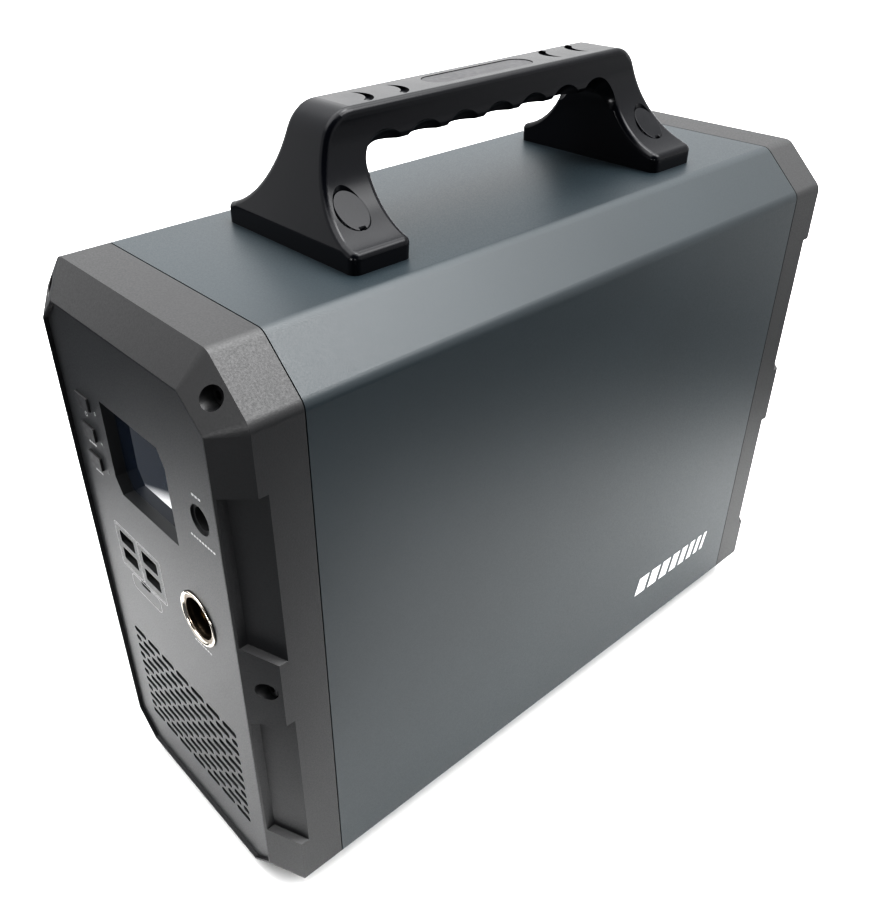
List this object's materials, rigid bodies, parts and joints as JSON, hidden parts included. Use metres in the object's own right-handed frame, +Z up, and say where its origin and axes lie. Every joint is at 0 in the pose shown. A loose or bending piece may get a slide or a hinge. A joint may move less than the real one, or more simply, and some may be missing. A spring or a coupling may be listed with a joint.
{
  "type": "portable power station",
  "caption": "Tall portable battery power station: metal sleeve with chamfered edges between bevelled end caps, carry handle on top, display, buttons, sockets and vents on the front.",
  "frame": {"origin": "on the floor, under the middle of the case", "axes": "+X to the right as seen facing the control panel, +Y from the control panel to the back, +Z up"},
  "size_m": [0.165, 0.399, 0.354],
  "materials": {
    "case_paint": "satin dark blue-grey powder coat",
    "cap_plastic": "fine-textured charcoal moulding",
    "faceplate_finish": "satin charcoal",
    "gasket_rubber": "matt black",
    "plated_steel": "zinc plated",
    "black_screws": "black oxide",
    "display_glass": "smoked, polished",
    "display_body": "dark navy liquid crystal panel",
    "button_plastic": "smooth matt black",
    "light_pipe": "frosted clear",
    "circuit_board": "green solder mask",
    "moulded_black": "plain moulding",
    "chrome_trim": "nickel plated",
    "contact_brass": "bright",
    "fan_plastic": "glass-filled moulding",
    "outlet_plastic": "smooth black",
    "foot_rubber": "matt black",
    "handle_plastic": "semi-gloss black moulding",
    "pad_rubber": "soft-touch",
    "cell_wrap": "green shrink wrap over a metal can",
    "bus_nickel": "nickel plated",
    "chip_black": "moulded package",
    "heat_sink_metal": "extruded, plain",
    "ferrite": "sintered",
    "copper_winding": "enamelled copper",
    "capacitor_sleeve": "printed sleeve, plain"
  },
  "bodies": {
    "root": {"case_sleeve": "case_paint", "front_cap": "cap_plastic", "rear_cap": "cap_plastic", "front_faceplate": "faceplate_finish", "rear_faceplate": "faceplate_finish", "front_gasket": "gasket_rubber", "rear_gasket": "gasket_rubber", "tie_rods": "plated_steel", "handle_backing_plates": "plated_steel", "front_bulkhead": "plated_steel", "rear_bulkhead": "plated_steel", "battery_tray": "plated_steel", "battery_straps": "plated_steel", "inverter_tray": "plated_steel", "cap_screws": "black_screws", "fan_screws": "black_screws", "foot_screws": "black_screws", "tray_screws": "black_screws", "handle_screws": "black_screws", "button_switches": "black_screws", "display_window": "display_glass", "display_module": "display_body", "indicator_light_pipes": "light_pipe", "control_board": "circuit_board", "port_board": "circuit_board", "bms_board": "circuit_board", "inverter_board": "circuit_board", "charge_board": "circuit_board", "dc_inlet_body": "moulded_black", "dc_inlet_nut": "moulded_black", "car_socket_nut": "moulded_black", "usb_socket_tongues": "moulded_black", "cell_holders": "moulded_black", "car_socket_ring": "chrome_trim", "car_socket_barrel": "chrome_trim", "usb_socket_shells": "chrome_trim", "dc_inlet_pin": "contact_brass", "car_socket_contact": "contact_brass", "ac_outlet_contacts": "contact_brass", "front_fan_frame": "fan_plastic", "rear_fan_frame": "fan_plastic", "ac_outlets": "outlet_plastic", "rubber_feet": "foot_rubber", "carry_handle": "handle_plastic", "handle_plugs": "handle_plastic", "grip_pad": "pad_rubber", "battery_cells": "cell_wrap", "cell_bus_bars": "bus_nickel", "board_standoffs": "bus_nickel", "bms_transistors": "chip_black", "charge_coils": "chip_black", "heat_sinks": "heat_sink_metal", "transformer_cores": "ferrite", "transformer_windings": "copper_winding", "bulk_capacitors": "capacitor_sleeve"},
    "power_button": {"power_button": "button_plastic"},
    "dc_button": {"dc_button": "button_plastic"},
    "ac_button": {"ac_button": "button_plastic"},
    "front_fan_rotor": {"front_fan_rotor": "fan_plastic"},
    "rear_fan_rotor": {"rear_fan_rotor": "fan_plastic"}
  },
  "joints": [
    {"name": "power_button_press", "type": "slide", "parent": "root", "child": "power_button", "axis": [0, 1, 0], "range_m": [0, 0.0008], "stiffness_N_per_m": 800, "springref_m": -0.0006},
    {"name": "dc_button_press", "type": "slide", "parent": "root", "child": "dc_button", "axis": [0, 1, 0], "range_m": [0, 0.0008], "stiffness_N_per_m": 800, "springref_m": -0.0006},
    {"name": "ac_button_press", "type": "slide", "parent": "root", "child": "ac_button", "axis": [0, 1, 0], "range_m": [0, 0.0008], "stiffness_N_per_m": 800, "springref_m": -0.0006},
    {"name": "front_fan_spin", "type": "hinge", "parent": "root", "child": "front_fan_rotor", "pos_m": [0, -0.1745, 0.067], "axis": [0, 1, 0], "continuous": true},
    {"name": "rear_fan_spin", "type": "hinge", "parent": "root", "child": "rear_fan_rotor", "pos_m": [0, 0.1745, 0.067], "axis": [0, 1, 0], "continuous": true}
  ]
}
